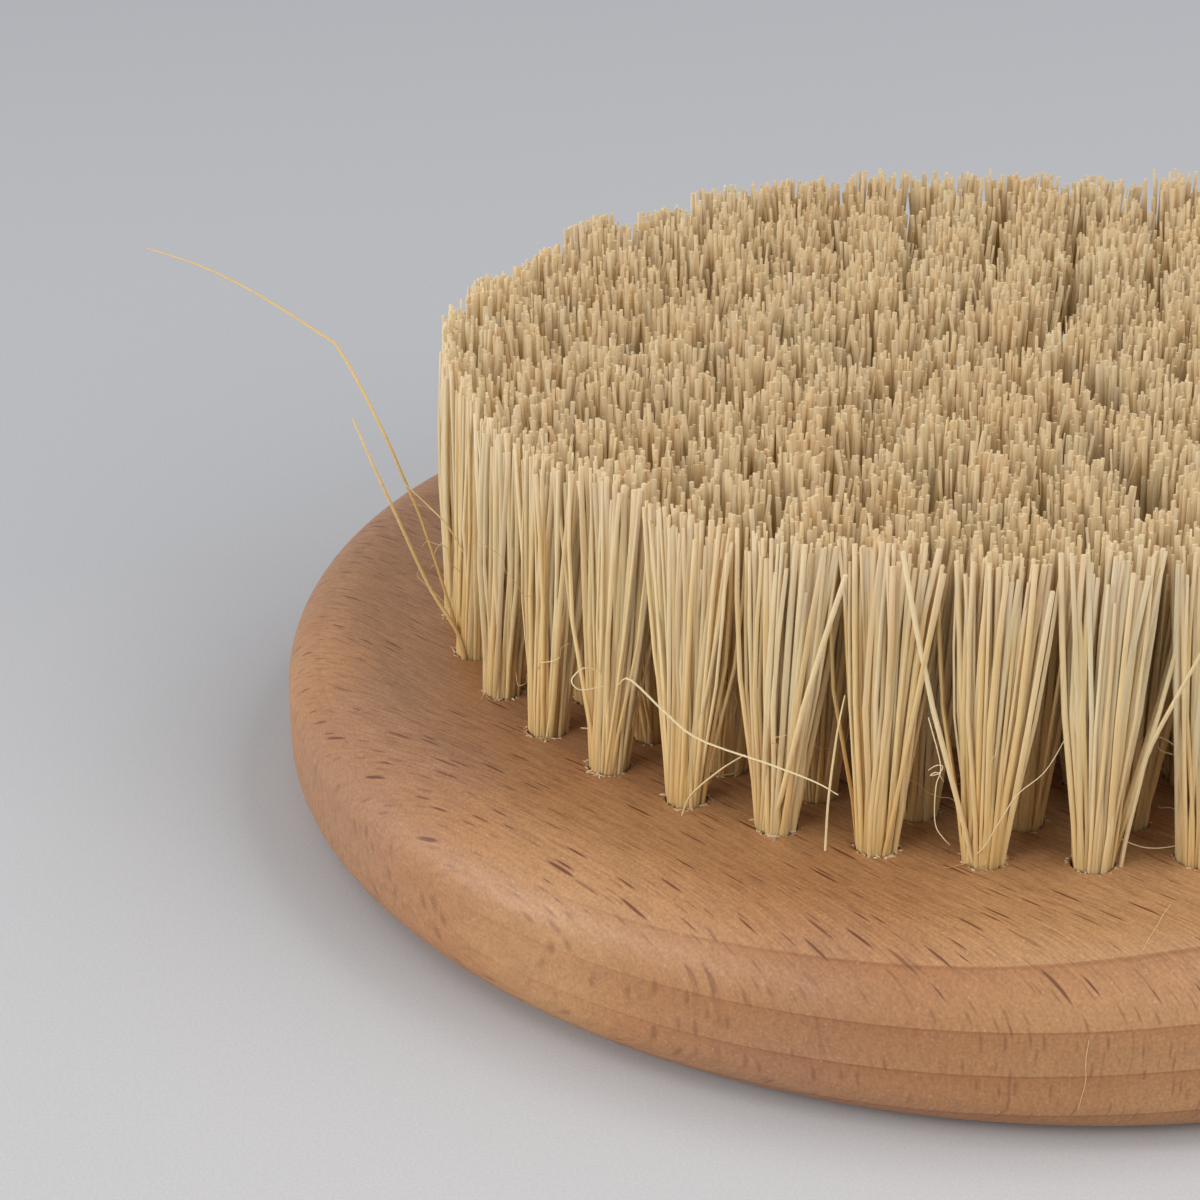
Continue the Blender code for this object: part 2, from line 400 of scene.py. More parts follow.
def oiled_beech(wood):
    """Steamed European beech, plain sawn, turned, sanded and oiled.

    The rays are upright plates along the grain: they show as short dark spindles on the
    face and run over the shoulder as upright strokes. Growth rings lie nearly level, so
    they show as faint lines round the side. Oil gives it a soft satin shine.
    """
    material, shader = new_material("oiled_beech")
    add = functools.partial(add_node, material)

    # Millimetres, with X along the grain, Y across it and Z up
    place = add("ShaderNodeTexCoord")["Object"]
    board = add(
        "ShaderNodeMapping", Vector=place, Rotation=(0, 0, GRAIN_TURN),
        Scale=[1 / MILLIMETRE] * 3)[0]
    height = add("ShaderNodeSeparateXYZ", Vector=board)["Z"]

    # The grain wanders by up to a millimetre or so over 30 mm
    wander = add("ShaderNodeTexNoise", Vector=board, Scale=0.035, Detail=1.0)["Color"]
    shift = add("ShaderNodeVectorMath", SUBTRACT, _0=wander, _1=(0.5, 0.5, 0.5))[0]
    shift = add("ShaderNodeVectorMath", MULTIPLY, _0=shift, _1=(1.5, 2.5, 0.6))[0]
    grain = add("ShaderNodeVectorMath", ADD, _0=board, _1=shift)[0]
    parts = add("ShaderNodeSeparateXYZ", Vector=grain)

    # Broad drift between tan and pinker wood, 30 mm across
    drift = add("ShaderNodeTexNoise", Vector=grain, Scale=0.033, Detail=2.0)["Fac"]
    tone = add(
        "ShaderNodeValToRGB", Fac=drift,
        stops=[(0.36, wood.pink_wood), (0.5, wood.tan_wood), (0.66, wood.light_wood)])[0]
    late_wood, end_grain = growth_rings(add, parts)
    ringed = add("ShaderNodeMix", TINT, _0=end_grain, _6=tone, _7=late_wood)[2]

    # Pores and fibres: streaks 0.16 mm wide and 3 mm long, in full on the flat face and
    # underside and fainter on the turned edge between them
    streak_place = add("ShaderNodeVectorMath", MULTIPLY, _0=grain, _1=(0.33, 6.0, 1.2))[0]
    streaks = add("ShaderNodeTexNoise", Vector=streak_place, Scale=1.0, Detail=3.0)["Fac"]
    face = add("ShaderNodeMapRange", Value=height, From_Min=11.4, From_Max=13.4)[0]
    underside = add("ShaderNodeMapRange", Value=height, From_Min=0.6, From_Max=0.1)[0]
    flat = add("ShaderNodeMath", MAXIMUM, _0=face, _1=underside)[0]
    darkest = add("ShaderNodeMapRange", Value=flat, To_Min=0.90, To_Max=0.77)[0]
    palest = add("ShaderNodeMapRange", Value=flat, To_Min=1.06, To_Max=1.15)[0]
    streak_shade = add(
        "ShaderNodeMapRange", Value=streaks, From_Min=0.3, From_Max=0.7, To_Min=darkest,
        To_Max=palest)[0]
    streaked = add("ShaderNodeVectorMath", SCALE, _0=ringed, Scale=streak_shade)[0]

    # Cut pores: a faint even mottle, 0.2 mm across
    mottle = add("ShaderNodeTexNoise", Vector=board, Scale=4.6, Detail=1.0)["Fac"]
    mottle_shade = add(
        "ShaderNodeMapRange", Value=mottle, From_Min=0.25, From_Max=0.75, To_Min=0.84,
        To_Max=1.14)[0]
    mottled = add("ShaderNodeVectorMath", SCALE, _0=streaked, Scale=mottle_shade)[0]

    # Small rays between the large ones: faint dashes up to 2 mm long and 0.2 mm wide
    small_place = add("ShaderNodeVectorMath", MULTIPLY, _0=grain, _1=(0.30, 3.0, 0.34))[0]
    small = add("ShaderNodeTexVoronoi", Vector=small_place, Scale=1.0)["Distance"]
    small_rays = add(
        "ShaderNodeMapRange", SMOOTH_STEP, Value=small, From_Min=0.09, From_Max=0.31,
        To_Min=0.40, To_Max=0.0)[0]
    flecked = add("ShaderNodeMix", COLOURS, _0=small_rays, _6=mottled, _7=wood.fleck)[2]
    rays = dark_rays(add, grain, parts)
    flecked = add("ShaderNodeMix", COLOURS, _0=rays, _6=flecked, _7=wood.fleck)[2]
    dusted = add(
        "ShaderNodeMix", COLOURS, _0=wood_dust(add, board, height), _6=flecked,
        _7=linear("#E2C6B0"))[2]

    # The rays lie a little lower than the wood round them and the streaks stand out
    roughness = add(
        "ShaderNodeMapRange", Value=streaks, From_Min=0.3, From_Max=0.7, To_Min=0.53,
        To_Max=0.42)[0]
    hollow = add("ShaderNodeMath", MULTIPLY_ADD, _0=rays, _1=-0.8, _2=streaks)[0]
    relief = add("ShaderNodeBump", Strength=0.5, Distance=0.04 * MILLIMETRE, Height=hollow)[0]
    set_inputs(
        material, shader, Base_Color=dusted, Roughness=roughness, Normal=relief, IOR=1.48)
    return material


def plant_fibre(fibres):
    """Bleached agave leaf fibre, combed, cut and trimmed.

    Each fibre has its own tone between golden and cream, fine lines along it, a greyer
    foot where it leaves the hole and a paler cut end. Towards the root it is painted more
    golden, as painted warm shade deep in the tufts, and its top quarter is painted paler, as
    painted light on the tips. Its skin has a faint shine.
    The fibre attribute holds its tone, the share of its length from the face, and its hue.
    """
    material, shader = new_material("plant_fibre")
    add = functools.partial(add_node, material)
    own = add("ShaderNodeAttribute", {"attribute_name": "fibre"})["Color"]
    own = add("ShaderNodeSeparateColor", Color=own)
    tone = add(
        "ShaderNodeValToRGB", Fac=own["Red"],
        stops=[(0.0, fibres.golden), (1.0, fibres.cream), (0.45, fibres.straw)])[0]

    # Lines along the fibre, 0.1 mm apart and 3 mm long
    place = add("ShaderNodeTexCoord")["Object"]
    drawn = add("ShaderNodeMapping", Vector=place, Scale=(9000, 9000, 350))[0]
    lines = add("ShaderNodeTexNoise", Vector=drawn, Scale=1.0, Detail=1.0)["Fac"]
    line_shade = add(
        "ShaderNodeMapRange", Value=lines, From_Min=0.3, From_Max=0.7, To_Min=0.91,
        To_Max=1.04)[0]
    shade = add("ShaderNodeVectorMath", SCALE, _0=tone, Scale=line_shade)[0]

    # One fibre in four is duller and browner
    dull = add("ShaderNodeMapRange", Value=own["Blue"], From_Min=0.75, To_Max=0.35)[0]
    shade = add("ShaderNodeMix", COLOURS, _0=dull, _6=shade, _7=linear("#E2C39C"))[2]

    # Towards the root the fibres are tinted more golden: painted warm shade, for the light
    # that bounces among the fibres deep in the tufts
    root = add(
        "ShaderNodeMapRange", Value=own["Green"], From_Max=0.55, To_Min=0.7, To_Max=0.0)[0]
    shade = add("ShaderNodeMix", TINT, _0=root, _6=shade, _7=linear("#FBE7BC"))[2]

    # The top quarter is painted paler: painted light, for the tips that stand in the light
    # above the tufts
    painted_tip_light = add(
        "ShaderNodeMapRange", Value=own["Green"], From_Min=0.70, From_Max=0.95,
        To_Max=0.50)[0]
    shade = add("ShaderNodeMix", COLOURS, _0=painted_tip_light, _6=shade, _7=linear("#FFF5DE"))[2]

    # A greyer foot where the fibre leaves the hole, and the cut end
    foot = add(
        "ShaderNodeMapRange", Value=own["Green"], From_Max=0.08, To_Min=0.14, To_Max=0.0)[0]
    shade = add("ShaderNodeMix", COLOURS, _0=foot, _6=shade, _7=linear("#B59C78"))[2]
    end = add("ShaderNodeMapRange", Value=own["Green"], From_Min=0.955, To_Max=0.10)[0]
    shade = add("ShaderNodeMix", COLOURS, _0=end, _6=shade, _7=linear("#E6D3AC"))[2]
    roughness = add(
        "ShaderNodeMapRange", Value=lines, From_Min=0.3, From_Max=0.7, To_Min=0.62,
        To_Max=0.46)[0]
    set_inputs(material, shader, Base_Color=shade, Roughness=roughness, IOR=1.45)

    # Light that comes through a fibre is more golden than light off its skin, and more of
    # it comes through towards the tips
    inside = add("ShaderNodeGamma", Color=shade, Gamma=1.40)[0]
    let_through = add("ShaderNodeBsdfTranslucent", Color=inside)[0]
    thin = add(
        "ShaderNodeMapRange", Value=own["Green"], From_Min=0.5, To_Min=0.28, To_Max=0.38)[0]
    mixed = add("ShaderNodeMixShader", _0=thin, _1=shader.outputs[0], _2=let_through)[0]
    set_inputs(material, material.node_tree.nodes["Material Output"], Surface=mixed)
    return material


def torn_beech():
    """Bare beech torn up by the drill: unoiled, pale and matt beside the oiled face.

    It is speckled by light and dark fibres 0.4 mm apart.
    """
    material, shader = new_material("torn_beech")
    add = functools.partial(add_node, material)
    place = add("ShaderNodeTexCoord")["Object"]
    speckle = add("ShaderNodeTexNoise", Vector=place, Scale=2500.0)["Fac"]
    tone = add(
        "ShaderNodeValToRGB", Fac=speckle,
        stops=[(0.35, linear("#B08A64")), (0.65, linear("#DCC3A0"))])[0]
    set_inputs(material, shader, Base_Color=tone, Roughness=0.8)
    return material


def drawn_steel(anchors):
    """Flat drawn steel wire: bright, with lines 0.03 mm apart along the draw."""
    material, shader = new_material("drawn_steel_wire")
    add = functools.partial(add_node, material)
    place = add("ShaderNodeTexCoord")["Object"]
    along = add("ShaderNodeMapping", Vector=place, Scale=(900, 30000, 30000))[0]
    lines = add("ShaderNodeTexNoise", Vector=along, Scale=1.0)["Fac"]
    roughness = add("ShaderNodeMapRange", Value=lines, To_Min=0.22, To_Max=0.42)[0]
    tone = add(
        "ShaderNodeValToRGB", Fac=lines,
        stops=[(0.3, linear("#9C9EA0")), (0.7, anchors.steel)])[0]
    set_inputs(material, shader, Base_Color=tone, Roughness=roughness, Metallic=1.0)
    return material


def pale_paper(studio):
    """Matt studio paper with a tooth of 0.2 mm. It is painted paler towards the front and
    greyer behind: painted light, for the lamps' light falling off towards the back.
    """
    material, shader = new_material("pale_studio_paper")
    add = functools.partial(add_node, material)
    place = add("ShaderNodeTexCoord")["Object"]
    from_front = add("ShaderNodeSeparateXYZ", Vector=place)["Y"]
    depth = add(
        "ShaderNodeMapRange", Value=from_front, From_Min=NEAR_FLOOR_Y, From_Max=FAR_FLOOR_Y)[0]
    # Painted light: the near, middle and far tones stand in for the lamps' light falling off
    tone = add(
        "ShaderNodeValToRGB", Fac=depth,
        stops=[(0.0, studio.near_floor), (1.0, studio.far_floor),
               (MIDDLE_FLOOR_SHARE, studio.middle_floor)])[0]
    tooth = add("ShaderNodeTexNoise", Vector=place, Scale=4500.0, Detail=3.0)["Fac"]
    tooth_shade = add(
        "ShaderNodeMapRange", Value=tooth, From_Min=0.3, From_Max=0.7, To_Min=0.955,
        To_Max=1.045)[0]
    grained = add("ShaderNodeVectorMath", SCALE, _0=tone, Scale=tooth_shade)[0]
    set_inputs(
        material, shader, Base_Color=grained, Roughness=0.95, Specular_IOR_Level=0.1)
    return material


# Making meshes and pieces


def mesh_from(bm, name):
    """A mesh of all that bm holds, with its faces turned outwards."""
    bmesh.ops.recalc_face_normals(bm, faces=bm.faces)
    mesh = bpy.data.meshes.new(name)
    bm.to_mesh(mesh)
    bm.free()
    return mesh


def smooth(mesh, sharp_from):
    """Shades a mesh smooth, and keeps edges sharp from an angle in degrees."""
    mesh.shade_smooth()
    mesh.set_sharp_from_angle(angle=math.radians(sharp_from))
    return mesh


def finished_piece(name, mesh, material, nodes=()):
    """Puts a piece on the one body of the brush, in the place of its CAD nodes."""
    mesh.materials.append(material)
    piece = bpy.data.objects.new(name, mesh)
    bpy.context.scene.collection.objects.link(piece)
    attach(piece, "root")
    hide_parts(*nodes)
    return piece


def new_corners(made):
    return [item for item in made["geom"] if isinstance(item, bmesh.types.BMVert)]


def new_edges(made):
    return [item for item in made["geom"] if isinstance(item, bmesh.types.BMEdge)]


def level_way(angle):
    """The level direction at an angle from +X."""
    return Vector((math.cos(angle), math.sin(angle), 0))


def added_copy(bm, mesh):
    """Adds a mesh to bm and gives back the corners that came with it."""
    before = len(bm.verts)
    bm.from_mesh(mesh)
    bm.verts.ensure_lookup_table()
    return bm.verts[before:]


def add_and_drop(bm, mesh):
    """Adds a mesh to bm, then does away with the mesh."""
    bm.from_mesh(mesh)
    bpy.data.meshes.remove(mesh)


# Where the tufts stand


def outer_nodes():
    """The CAD nodes of the outer row, one for each tuft."""
    rows = set(INNER_ROWS)
    return sorted(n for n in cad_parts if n.startswith("tuft_") and n not in rows)


def seat_of(node):
    """The mouth of the hole that holds an outer tuft."""
    low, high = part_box(node)
    return Vector(((low.x + high.x) / 2, (low.y + high.y) / 2, FACE_HEIGHT))


def row_seats(row):
    """The mouths of the holes of an inner row."""
    radius = CENTRE_ROW_RADIUS + ROW_PITCH * row
    count = round(WHOLE_TURN * radius / TUFT_PITCH)
    angles = [INNER_ROW_TURN + WHOLE_TURN * index / count for index in range(count)]
    return [
        Vector((radius * math.cos(angle), radius * math.sin(angle), FACE_HEIGHT))
        for angle in angles
    ]


def all_seats():
    """The mouths of all the holes, the outer row first."""
    outer = [seat_of(node) for node in outer_nodes()]
    inner = [seat for row in range(len(INNER_ROWS)) for seat in row_seats(row)]
    return outer + inner


# Beech body


def quarter_arc(centre, width, height, start, steps):
    """Corners along a quarter of an ellipse in the XZ plane, clockwise from start."""
    angles = [start - math.pi / 2 * step / steps for step in range(steps + 1)]
    return [
        Vector((centre[0] + width * math.cos(a), 0, centre[1] + height * math.sin(a)))
        for a in angles
    ]


def turned_edge(wood):
    """The body's edge from the drilled face, over the shoulder, to the underside."""
    shoulder = quarter_arc(
        (wood.radius - wood.shoulder_width, wood.thickness - wood.shoulder_drop),
        wood.shoulder_width, wood.shoulder_drop, math.pi / 2, SHOULDER_STEPS)
    foot = quarter_arc(
        (wood.radius - wood.foot_width, wood.foot_rise), wood.foot_width, wood.foot_rise,
        0, SHOULDER_STEPS)
    wall = [shoulder[-1].lerp(foot[0], step / WALL_STEPS) for step in range(1, WALL_STEPS)]
    return shoulder + wall + foot


def drilled_hole(wood):
    """A blind hole, open at the top: broken rim, wall and the drill's blunt point."""
    bm = bmesh.new()
    rim = wood.hole_radius + RIM_CHAMFER
    bmesh.ops.create_circle(bm, cap_ends=False, radius=rim, segments=HOLE_SIDES)
    edges = bm.edges[:]
    steps = [(wood.hole_radius / rim, -RIM_CHAMFER), (1, DRILL_POINT - wood.hole_depth),
             (DRILL_POINT_FLAT, -DRILL_POINT)]
    for share, drop in steps:
        made = bmesh.ops.extrude_edge_only(bm, edges=edges)
        edges = new_edges(made)
        bmesh.ops.scale(bm, verts=new_corners(made), vec=(share, share, 1))
        bmesh.ops.translate(bm, verts=new_corners(made), vec=(0, 0, drop))
    bmesh.ops.edgeloop_fill(bm, edges=edges)
    return mesh_from(bm, "drilled_hole")


def tear_rim(corners, seat):
    """Leaves the rim of a hole a little ragged, in the plane of the face."""
    for corner in corners:
        if corner.co.z > FACE_HEIGHT - RIM_CHAMFER / 2:
            away = (corner.co - seat).normalized()
            spot = corner.co / MILLIMETRE * RIM_TEARS_A_MILLIMETRE
            corner.co += away * RIM_TEAR * noise.noise(spot)


class BATHBRUSH_OT_beech_body(bpy.types.Operator):
    """Turns the beech body and drills its blind holes"""

    bl_idname = "bathbrush.beech_body"
    bl_label = "Beech Body"

    def execute(self, context):
        wood = context.scene.bath_brush.body
        bm = bmesh.new()
        corners = [bm.verts.new(corner) for corner in turned_edge(wood)]
        edges = [bm.edges.new(pair) for pair in zip(corners, corners[1:])]
        bmesh.ops.spin(
            bm, geom=corners + edges, cent=(0, 0, 0), axis=UP, angle=WHOLE_TURN,
            steps=BODY_SIDES, use_merge=True)
        ends = [edge for edge in bm.edges if edge.is_boundary]
        underside = [edge for edge in ends if edge.verts[0].co.z < wood.foot_rise]
        bmesh.ops.edgeloop_fill(bm, edges=underside)
        hole = drilled_hole(wood)
        for seat in all_seats():
            added = added_copy(bm, hole)
            bmesh.ops.translate(bm, verts=added, vec=seat)
            tear_rim(added, seat)
        rims = [edge for edge in bm.edges if edge.is_boundary]
        bmesh.ops.triangle_fill(bm, use_beauty=True, edges=rims, normal=UP)
        mesh = smooth(mesh_from(bm, "beech_body"), SHARP_WOOD)
        finished_piece("beech_body", mesh, oiled_beech(wood), ["brush_body"])
        return {"FINISHED"}


# Fibres


def straight_blank(name, rings, sides):
    """A closed straight strand of radius 1, drawn out ring by ring: ring k is at height k."""
    bm = bmesh.new()
    bmesh.ops.create_circle(bm, cap_ends=False, radius=1, segments=sides)
    edges = bm.edges[:]
    for _ in range(rings - 1):
        made = bmesh.ops.extrude_edge_only(bm, edges=edges)
        edges = new_edges(made)
        bmesh.ops.translate(bm, verts=new_corners(made), vec=UP)
    ends = [edge for edge in bm.edges if edge.is_boundary]
    bmesh.ops.holes_fill(bm, edges=ends, sides=sides)
    return mesh_from(bm, name)


def carried_sides(path, side):
    """For each point of a path, a direction beside it and one across both."""
    pairs = []
    for index in range(len(path)):
        ahead = path[min(index + 1, len(path) - 1)] - path[max(index - 1, 0)]
        ahead = ahead.normalized()
        side = (side - ahead * side.dot(ahead)).normalized()
        pairs.append((side, ahead.cross(side)))
    return pairs


def lay_strand(bm, blank, path, strand):
    """Lays a copy of the blank along a path, as wide and thick as the strand is."""
    marks = bm.verts.layers.float_color["fibre"]
    pairs = carried_sides(path, strand["side"])
    reach = strand["reach"]
    for corner in added_copy(bm, blank):
        ring = round(corner.co.z)
        side, across = pairs[ring]
        taper = strand["taper"][ring]
        wide = side * (corner.co.x * strand["width"] / 2 * taper)
        deep = across * (corner.co.y * strand["depth"] / 2 * taper)
        corner.co = path[ring] + wide + deep
        corner[marks] = (strand["tone"], reach[ring], strand["hue"], 1)


def packed_spots(count, start):
    """Spots spread evenly over the half of a hole that one end of each fibre fills."""
    spots = []
    for index in range(count):
        radius = PACKED_RADIUS * math.sqrt((index + 0.5) / count)
        angle = (start + index * GOLDEN_TURN) % math.pi
        spots.append(Vector((radius * math.cos(angle), radius * math.sin(angle), 0)))
    return spots


def fibre_end(spot, tuft, chance):
    """Points from one cut tip down to spot, where that end of the fibre leaves the hole."""
    fibres = tuft["settings"]
    flare = tuft["tip_spread"] / PACKED_RADIUS
    lean = Vector((chance.gauss(0, FIBRE_LEAN), chance.gauss(0, FIBRE_LEAN), 0))
    if chance.random() < WILD_SHARE:
        lean *= WILD_LEAN
    tip = spot * flare + lean
    outwards = tip.dot(tuft["away"])
    if outwards > 0:
        tip -= tuft["away"] * outwards * (1 - tuft["spread_outwards"])
    tip += tuft["lean"]
    edge = spot.length / PACKED_RADIUS
    short = fibres.unevenness * chance.random() ** TRIM_POWER + tuft["dome"] * edge ** 2
    if chance.random() < SHORT_SHARE:
        short += SHORT_BY * chance.random()
    tip.z = tuft["height"] - short
    bow = Vector((chance.gauss(0, FIBRE_BOW), chance.gauss(0, FIBRE_BOW), 0))
    path = [tip]
    for share, rise, bend in FIBRE_COURSE:
        point = spot.lerp(tip, share) + bow * bend
        point.z = tip.z * rise
        path.append(point)
    return [*path, spot]


def folded_fibre(spots, tuft, chance):
    """The path of a fibre from one tip, down round the staple, and up to the other tip."""
    here = fibre_end(spots[0], tuft, chance)
    there = fibre_end(spots[1], tuft, chance)
    beside = (spots[0].x + spots[1].x) / 2 * FOLD_PACKING
    layer = FOLD_GAP * (0.5 + chance.random())
    fold = [
        Vector((beside, FOLD_GAP, FOLD_GAP - FOLD_DEPTH)),
        Vector((beside, 0, -FOLD_DEPTH + FOLD_GAP / 2 - layer)),
        Vector((beside, -FOLD_GAP, FOLD_GAP - FOLD_DEPTH)),
    ]
    return here + fold + there[::-1]


def tuft_mesh(blank, seat, tuft, chance):
    """All the fibres of one tuft, folded into its hole."""
    fibres = tuft["settings"]
    bm = strand_bmesh()
    spots = packed_spots(fibres.fibres, chance.random() * math.pi)
    others = [Vector((spot.x, -spot.y, 0)) for spot in spots]
    chance.shuffle(others)
    golden = chance.random() * GOLDEN_TUFT
    for pair in zip(spots, others):
        path = [seat + point for point in folded_fibre(pair, tuft, chance)]
        last = len(path) - 1
        width = fibres.fibre_width * chance.uniform(*FIBRE_WIDTHS)
        strand = {
            "side": Vector((math.cos(chance.random() * math.pi), chance.random(), 0)),
            "width": width,
            "depth": width * chance.uniform(*FIBRE_DEPTHS),
            "tone": min(1, max(0, chance.gauss(FIBRE_TONE - golden, FIBRE_TONE_PLAY))),
            "hue": chance.random(),
            "reach": [
                max(0, (point.z - seat.z) / tuft["height"]) if 0 < index < last else 1
                for index, point in enumerate(path)
            ],
            "taper": [CUT_TAPER if index in (0, last) else 1 for index in range(last + 1)],
        }
        lay_strand(bm, blank, path, strand)
    return mesh_from(bm, "tuft")


def tuft_of(seat, fibres, outer, chance):
    """How one tuft stands: which way is outwards, its height and its lean."""
    spread = 1.0
    if outer:
        facing = math.cos(math.atan2(seat.y, seat.x) - BACK_RIGHT)
        spread = OUTER_SPREAD_OUTWARDS + BACK_RIGHT_SPREAD * max(0, facing) ** 2
    lean = Vector((chance.gauss(0, TUFT_LEAN), chance.gauss(0, TUFT_LEAN), 0))
    play = chance.uniform(-TUFT_HEIGHT_PLAY, TUFT_HEIGHT_PLAY)
    return {
        "settings": fibres,
        "away": Vector((seat.x, seat.y, 0)).normalized(),
        "spread_outwards": spread,
        "lean": lean,
        "height": fibres.height + play + TRIM_SLOPE * seat.x,
        "tip_spread": fibres.tip_spread * (1 if outer else INNER_TIP_SPREAD),
        "dome": OUTER_DOME if outer else INNER_DOME,
    }


def strand_bmesh():
    """An empty bmesh whose corners can hold the fibre attribute."""
    bm = bmesh.new()
    bm.verts.layers.float_color.new("fibre")
    return bm


class BATHBRUSH_OT_tufts(bpy.types.Operator):
    """Folds the fibres into their holes: one piece for each outer tuft and inner row"""

    bl_idname = "bathbrush.tufts"
    bl_label = "Tufts"

    def execute(self, context):
        fibres = context.scene.bath_brush.tufts
        material = plant_fibre(fibres)
        chance = random.Random(fibres.seed)
        blank = straight_blank("folded_fibre", FIBRE_RINGS, FIBRE_SIDES)
        groups = [(node, [seat_of(node)], True) for node in outer_nodes()]
        groups += [(node, row_seats(row), False) for row, node in enumerate(INNER_ROWS)]
        for node, seats, outer in groups:
            bm = strand_bmesh()
            for seat in seats:
                tuft = tuft_of(seat, fibres, outer, chance)
                add_and_drop(bm, tuft_mesh(blank, seat, tuft, chance))
            mesh = smooth(mesh_from(bm, node + "_fibres"), SHARP_FIBRE)
            finished_piece(node + "_fibres", mesh, material, [node])
        return {"FINISHED"}


# Stray fibres: width in millimetres, tone, and points in millimetres along each one, from
# where it is held
STRAYS = {
    "long_bent": (0.34, 0.25, [
        (-43.4, -12.3, 9.0), (-43.6, -12.5, 14.2), (-46.5, -8.9, 22.9), (-48.1, -7.4, 26.5),
        (-50.0, -5.6, 30.4), (-53.1, -3.2, 35.7), (-54.5, -2.6, 36.7), (-56.3, -1.8, 37.7),
        (-60.2, -0.2, 39.6), (-64.3, 1.4, 41.1), (-68.6, 3.0, 42.0)]),
    "straight_left": (0.42, 0.45, [
        (-43.3, -12.2, 9.0), (-43.6, -12.5, 14.8), (-46.1, -11.3, 19.1),
        (-48.3, -10.1, 23.9), (-50.2, -9.0, 28.0), (-51.9, -8.0, 31.9)]),
    "left_fork": (0.16, 0.6, [
        (-43.2, -11.8, 22.0), (-44.7, -11.0, 24.3), (-46.4, -9.9, 25.7), (-47.9, -9.0, 26.8)]),
    "crossing": (0.17, 0.85, [
        (-31.6, -33.0, 21.5), (-30.8, -34.0, 22.4), (-28.4, -36.5, 21.1),
        (-26.1, -38.8, 20.2), (-21.5, -42.6, 20.3), (-18.6, -45.1, 20.3),
        (-17.2, -46.5, 20.1)]),
    "spur": (0.20, 0.7, [(-27.3, -37.4, 13.0), (-26.6, -38.0, 15.4), (-24.7, -39.7, 18.3),
                         (-23.1, -41.0, 20.2)]),
    "kinked": (0.24, 0.75, [
        (-17.9, -46.5, 15.9), (-17.8, -46.3, 19.6), (-17.5, -46.2, 23.3),
        (-17.3, -46.1, 25.1), (-16.9, -45.4, 26.9)]),
    "curl": (0.11, 0.9, [
        (-11.4, -45.6, 25.4), (-10.6, -47.0, 22.6), (-10.8, -46.9, 21.1),
        (-10.8, -46.7, 19.1), (-10.6, -46.6, 17.7), (-10.0, -46.4, 16.7),
        (-9.5, -45.8, 15.9)]),
    "right_hair": (0.13, 0.95, [
        (-7.6, -44.6, 14.4), (-7.1, -45.5, 15.7), (-6.2, -45.6, 17.7), (-5.2, -45.7, 19.7),
        (-3.5, -45.8, 21.5), (-2.1, -45.4, 24.1)]),
    "thick_bent": (0.50, 0.8, [
        (2.0, -44.4, 9.0), (2.4, -44.6, 14.8), (2.9, -45.1, 19.7), (3.3, -45.5, 22.9),
        (4.6, -46.0, 26.9), (5.8, -46.2, 30.0), (7.3, -46.4, 33.8)]),
    "arch": (0.12, 0.5, [
        (3.0, -42.0, 21.7), (3.8, -42.0, 22.0), (4.6, -42.5, 22.3), (5.3, -43.0, 22.1),
        (5.9, -43.5, 21.7), (6.6, -43.8, 21.0)]),
    "flat_hair": (0.10, 0.8, [
        (2.0, -43.5, 15.3), (2.9, -43.5, 14.8), (4.1, -43.5, 14.4), (5.4, -43.5, 14.4),
        (7.1, -43.5, 14.8)]),
    "side_hair": (0.045, 0.8, [
        (-1.7, -58.4, 8.8), (-1.8, -58.5, 7.3), (-1.7, -58.5, 5.8), (-1.9, -58.5, 4.4),
        (-2.0, -58.4, 3.4)]),
    "face_hair": (0.04, 0.6, [
        (4.7, -49.8, 13.7), (3.9, -51.2, 13.7), (3.4, -52.3, 13.7), (2.6, -53.6, 13.4),
        (1.9, -54.8, 13.0)]),
    "knot": (0.09, 0.9, [
        (-11.3, -46.4, 21.9), (-10.9, -46.9, 22.5), (-10.4, -46.6, 22.3),
        (-10.6, -46.3, 21.6), (-11.2, -46.6, 21.6), (-10.8, -46.9, 22.0),
        (-10.3, -46.7, 21.2)]),
    "loop": (0.13, 0.9, [
        (-32.0, -31.0, 20.6), (-32.9, -31.0, 21.5), (-34.0, -31.5, 22.1),
        (-34.9, -32.0, 21.4), (-34.3, -32.4, 20.8), (-32.6, -32.4, 21.1)]),
}


def smooth_path(points, count):
    """Points evenly spaced in number along a smooth curve through the given ones."""
    ends = [points[0] * 2 - points[1], *points, points[-1] * 2 - points[-2]]
    path = []
    for index in range(count):
        at = index / (count - 1) * (len(points) - 1)
        span = min(int(at), len(points) - 2)
        t = at - span
        a, b, c, d = ends[span:span + 4]
        path.append((b * 2 + (c - a) * t + (a * 2 - b * 5 + c * 4 - d) * t ** 2
                     + (b * 3 - a - c * 3 + d) * t ** 3) / 2)
    return path


def lay_stray(bm, blank, points, width, tone):
    """Lays one stray fibre or hair smoothly through the points."""
    last = STRAY_RINGS - 1
    strand = {
        "side": STRAY_FLAT_SIDE,
        "width": width,
        "depth": width * STRAY_DEPTH,
        "tone": tone,
        "hue": STRAY_HUE,
        "reach": [STRAY_REACH] * STRAY_RINGS,
        "taper": [1 - STRAY_TAPER * (ring / last) ** 3 for ring in range(STRAY_RINGS)],
    }
    lay_strand(bm, blank, smooth_path(points, STRAY_RINGS), strand)


